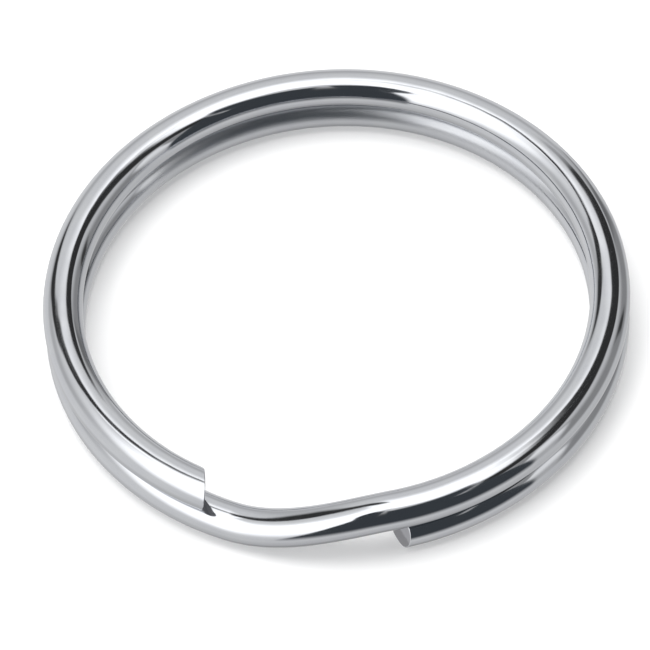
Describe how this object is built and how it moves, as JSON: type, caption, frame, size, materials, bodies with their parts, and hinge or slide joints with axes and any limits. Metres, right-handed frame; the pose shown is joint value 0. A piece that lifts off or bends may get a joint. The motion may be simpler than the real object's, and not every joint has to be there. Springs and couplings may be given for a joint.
{
  "type": "split key ring",
  "caption": "Split key ring: flattened spring wire coiled two full turns, whose free ends pry apart so that keys slide on.",
  "frame": {"origin": "centre of the ring, on the flat face it rests on", "axes": "+Z along the ring's axis, upwards; -Y towards the crossover bend and the two wire ends; +X towards the side where the lower end starts"},
  "size_m": [0.025, 0.025, 0.0028],
  "materials": {
    "wire": "bright nickel-chrome plating on spring steel, polished"
  },
  "bodies": {
    "held_coil": {"lower_rear_left": "wire", "lower_left_rear": "wire", "lower_left": "wire", "lower_front_left": "wire", "crossover_bend": "wire", "upper_front_right": "wire", "upper_right": "wire", "upper_right_rear": "wire", "upper_rear_right": "wire"},
    "upper_rear_link": {"upper_rear": "wire"},
    "upper_rear_left_link": {"upper_rear_left": "wire"},
    "upper_left_rear_link": {"upper_left_rear": "wire"},
    "upper_left_link": {"upper_left": "wire"},
    "upper_front_left_link": {"upper_front_left": "wire"},
    "upper_end_link": {"upper_end": "wire"},
    "lower_rear_link": {"lower_rear": "wire"},
    "lower_rear_right_link": {"lower_rear_right": "wire"},
    "lower_right_rear_link": {"lower_right_rear": "wire"},
    "lower_right_link": {"lower_right": "wire"},
    "lower_front_right_link": {"lower_front_right": "wire"},
    "lower_end_link": {"lower_end": "wire"}
  },
  "joints": [
    {"name": "upper_end_opening", "type": "hinge", "parent": "held_coil", "child": "upper_rear_link", "pos_m": [0.00583, 0.01009, 0.0028], "axis": [-0.8607, 0.509, 0], "range_deg": [0, 1.75], "stiffness_Nm_per_rad": 0.0022, "springref_deg": 0.06},
    {"name": "upper_rear_left_flex", "type": "hinge", "parent": "upper_rear_link", "child": "upper_rear_left_link", "pos_m": [0, 0.01165, 0.0028], "axis": [-0.9636, 0.2674, 0], "range_deg": [0, 1.7], "stiffness_Nm_per_rad": 0.0017, "springref_deg": -0.02},
    {"name": "upper_left_rear_flex", "type": "hinge", "parent": "upper_rear_left_link", "child": "upper_left_rear_link", "pos_m": [-0.00583, 0.01009, 0.0028], "axis": [-1, 0.007, 0], "range_deg": [0, 1.53], "stiffness_Nm_per_rad": 0.0012, "springref_deg": -0.1},
    {"name": "upper_left_flex", "type": "hinge", "parent": "upper_left_rear_link", "child": "upper_left_link", "pos_m": [-0.01009, 0.00583, 0.0028], "axis": [-0.9671, -0.2545, 0], "range_deg": [0, 1.25], "stiffness_Nm_per_rad": 0.00073, "springref_deg": -0.1},
    {"name": "upper_front_left_flex", "type": "hinge", "parent": "upper_left_link", "child": "upper_front_left_link", "pos_m": [-0.01165, 0, 0.0028], "axis": [-0.866, -0.5, 0], "range_deg": [0, 0.88], "stiffness_Nm_per_rad": 0.00034, "springref_deg": -0.08},
    {"name": "upper_end_flex", "type": "hinge", "parent": "upper_front_left_link", "child": "upper_end_link", "pos_m": [-0.01013, -0.00568, 0.0028], "axis": [-0.7071, -0.7071, 0], "range_deg": [0, 0.46], "stiffness_Nm_per_rad": 0.00009, "springref_deg": -0.05},
    {"name": "lower_end_opening", "type": "hinge", "parent": "held_coil", "child": "lower_rear_link", "pos_m": [-0.00202, 0.01147, 0], "axis": [0.9848, 0.1736, 0], "range_deg": [0, 1.75], "stiffness_Nm_per_rad": 0.0022, "springref_deg": 0.06},
    {"name": "lower_rear_right_flex", "type": "hinge", "parent": "lower_rear_link", "child": "lower_rear_right_link", "pos_m": [0.00398, 0.01095, 0], "axis": [0.9962, -0.0872, 0], "range_deg": [0, 1.7], "stiffness_Nm_per_rad": 0.0018, "springref_deg": -0.01},
    {"name": "lower_right_rear_flex", "type": "hinge", "parent": "lower_rear_right_link", "child": "lower_right_rear_link", "pos_m": [0.00892, 0.00749, 0], "axis": [0.9397, -0.342, 0], "range_deg": [0, 1.53], "stiffness_Nm_per_rad": 0.0013, "springref_deg": -0.08},
    {"name": "lower_right_flex", "type": "hinge", "parent": "lower_right_rear_link", "child": "lower_right_link", "pos_m": [0.01147, 0.00202, 0], "axis": [0.8192, -0.5736, 0], "range_deg": [0, 1.25], "stiffness_Nm_per_rad": 0.00076, "springref_deg": -0.11},
    {"name": "lower_front_right_flex", "type": "hinge", "parent": "lower_right_link", "child": "lower_front_right_link", "pos_m": [0.01095, -0.00398, 0], "axis": [0.6428, -0.766, 0], "range_deg": [0, 0.88], "stiffness_Nm_per_rad": 0.00036, "springref_deg": -0.27},
    {"name": "lower_end_flex", "type": "hinge", "parent": "lower_front_right_link", "child": "lower_end_link", "pos_m": [0.00749, -0.00892, 0], "axis": [0.4226, -0.9063, 0], "range_deg": [0, 0.46], "stiffness_Nm_per_rad": 0.000094, "springref_deg": -0.56}
  ],
  "couplings": [
    {"joint": "upper_rear_left_flex", "follows": "upper_end_opening", "ratio": 0.96593},
    {"joint": "upper_left_rear_flex", "follows": "upper_end_opening", "ratio": 0.86603},
    {"joint": "upper_left_flex", "follows": "upper_end_opening", "ratio": 0.70711},
    {"joint": "upper_front_left_flex", "follows": "upper_end_opening", "ratio": 0.5},
    {"joint": "upper_end_flex", "follows": "upper_end_opening", "ratio": 0.25882},
    {"joint": "lower_rear_right_flex", "follows": "lower_end_opening", "ratio": 0.96593},
    {"joint": "lower_right_rear_flex", "follows": "lower_end_opening", "ratio": 0.86603},
    {"joint": "lower_right_flex", "follows": "lower_end_opening", "ratio": 0.70711},
    {"joint": "lower_front_right_flex", "follows": "lower_end_opening", "ratio": 0.5},
    {"joint": "lower_end_flex", "follows": "lower_end_opening", "ratio": 0.25882}
  ]
}
